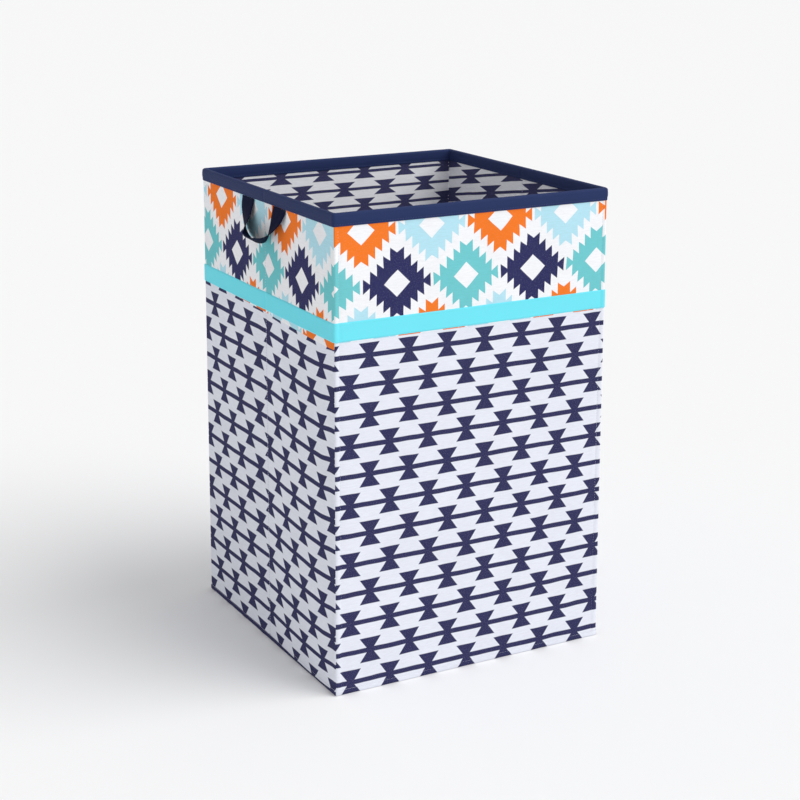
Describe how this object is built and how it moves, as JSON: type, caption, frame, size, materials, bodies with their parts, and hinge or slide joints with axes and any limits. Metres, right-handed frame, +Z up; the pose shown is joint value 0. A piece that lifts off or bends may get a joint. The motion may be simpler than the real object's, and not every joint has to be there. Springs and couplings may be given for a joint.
{
  "type": "fabric storage bin",
  "caption": "Tall square open-top storage bin of printed cloth over boards, with a rim tape, a ribbon band, hanging strap handles, folding side walls and a hinged base.",
  "frame": {"origin": "centre of the footprint on the floor", "axes": "+Z up; +Y towards the back wall, which the base flap is hinged to; the folding side walls, with the handles, face -X and +X"},
  "size_m": [0.4062, 0.3624, 0.559],
  "materials": {
    "board": "grey-brown pressed board, matt",
    "lower_print": "pale canvas printed with navy stripes and hourglass figures, plain weave, matt",
    "upper_print": "white canvas printed with saw-edged diamonds in orange, light blue, navy and aqua, matt",
    "ribbon": "bright cyan flat ribbon, slight sheen",
    "lining": "pale canvas printed with navy stripes and hourglass figures, plain weave, matt",
    "rim_tape": "navy twill binding tape, soft sheen",
    "webbing": "navy flat webbing, ribbed weave",
    "thread": "pale sewing thread",
    "base_cover": "pale canvas with the lining print, plain beneath",
    "bottom_cloth": "pale canvas with the lower print on its hem"
  },
  "bodies": {
    "back": {"back_board": "board", "back_print": "lower_print", "back_band": "upper_print", "back_ribbon": "ribbon", "back_lining": "lining", "back_tape": "rim_tape", "bottom_cloth": "bottom_cloth", "base_hinge_tape": "base_cover"},
    "left_rear": {"left_rear_board": "board", "left_rear_print": "lower_print", "left_rear_band": "upper_print", "left_rear_ribbon": "ribbon", "left_rear_lining": "lining", "left_rear_tape": "rim_tape"},
    "left_crease": {"left_crease_print": "lower_print", "left_crease_band": "upper_print", "left_crease_ribbon": "ribbon", "left_crease_seam": "thread", "left_crease_lining": "lining", "left_crease_tape": "rim_tape"},
    "left_front": {"left_front_board": "board", "left_front_print": "lower_print", "left_front_band": "upper_print", "left_front_ribbon": "ribbon", "left_front_lining": "lining", "left_front_tape": "rim_tape"},
    "front": {"front_board": "board", "front_print": "lower_print", "front_band": "upper_print", "front_ribbon": "ribbon", "front_lining": "lining", "front_tape": "rim_tape"},
    "right_rear": {"right_rear_board": "board", "right_rear_print": "lower_print", "right_rear_band": "upper_print", "right_rear_ribbon": "ribbon", "right_rear_lining": "lining", "right_rear_tape": "rim_tape"},
    "right_crease": {"right_crease_print": "lower_print", "right_crease_band": "upper_print", "right_crease_ribbon": "ribbon", "right_crease_seam": "thread", "right_crease_lining": "lining", "right_crease_tape": "rim_tape"},
    "right_front": {"right_front_board": "board", "right_front_print": "lower_print", "right_front_band": "upper_print", "right_front_ribbon": "ribbon", "right_front_lining": "lining", "right_front_tape": "rim_tape"},
    "base_flap": {"base_board": "board", "base_cover_top": "base_cover", "base_cover_underside": "base_cover"},
    "handle_left": {"handle_left": "webbing"},
    "handle_right": {"handle_right": "webbing"}
  },
  "joints": [
    {"name": "side_fold", "type": "hinge", "parent": "back", "child": "left_rear", "pos_m": [-0.17295, 0.16975, 0], "axis": [0, 0, 1], "range_deg": [0, 88], "deforming": ["bottom_cloth"]},
    {"name": "left_crease_rear_hinge", "type": "hinge", "parent": "left_rear", "child": "left_crease", "pos_m": [-0.17945, 0.0034, 0], "axis": [0, 0, -1], "range_deg": [0, 88], "deforming": ["handle_left"]},
    {"name": "left_crease_front_hinge", "type": "hinge", "parent": "left_crease", "child": "left_front", "pos_m": [-0.17945, -0.0086, 0], "axis": [0, 0, -1], "range_deg": [0, 88]},
    {"name": "left_front_corner_hinge", "type": "hinge", "parent": "left_front", "child": "front", "pos_m": [-0.17295, -0.17495, 0], "axis": [0, 0, 1], "range_deg": [0, 88]},
    {"name": "right_rear_corner_hinge", "type": "hinge", "parent": "back", "child": "right_rear", "pos_m": [0.17295, 0.16975, 0], "axis": [0, 0, -1], "range_deg": [0, 88]},
    {"name": "right_crease_rear_hinge", "type": "hinge", "parent": "right_rear", "child": "right_crease", "pos_m": [0.17945, 0.0034, 0], "axis": [0, 0, 1], "range_deg": [0, 88], "deforming": ["handle_right"]},
    {"name": "right_crease_front_hinge", "type": "hinge", "parent": "right_crease", "child": "right_front", "pos_m": [0.17945, -0.0086, 0], "axis": [0, 0, 1], "range_deg": [0, 88]},
    {"name": "base_flap_hinge", "type": "hinge", "parent": "back", "child": "base_flap", "pos_m": [0, 0.17445, 0.005], "axis": [-1, 0, 0], "range_deg": [0, 90], "deforming": ["base_hinge_tape"]},
    {"name": "handle_left_swing", "type": "hinge", "parent": "left_crease", "child": "handle_left", "pos_m": [-0.1802, 0, 0.5434], "axis": [0, 1, 0], "range_deg": [0, 150]},
    {"name": "handle_right_swing", "type": "hinge", "parent": "right_crease", "child": "handle_right", "pos_m": [0.1802, 0, 0.5434], "axis": [0, -1, 0], "range_deg": [0, 150]}
  ],
  "couplings": [
    {"joint": "left_crease_rear_hinge", "follows": "side_fold", "ratio": 1},
    {"joint": "left_crease_front_hinge", "follows": "side_fold", "ratio": 1},
    {"joint": "left_front_corner_hinge", "follows": "side_fold", "ratio": 1},
    {"joint": "right_rear_corner_hinge", "follows": "side_fold", "ratio": 1},
    {"joint": "right_crease_rear_hinge", "follows": "side_fold", "ratio": 1},
    {"joint": "right_crease_front_hinge", "follows": "side_fold", "ratio": 1}
  ]
}
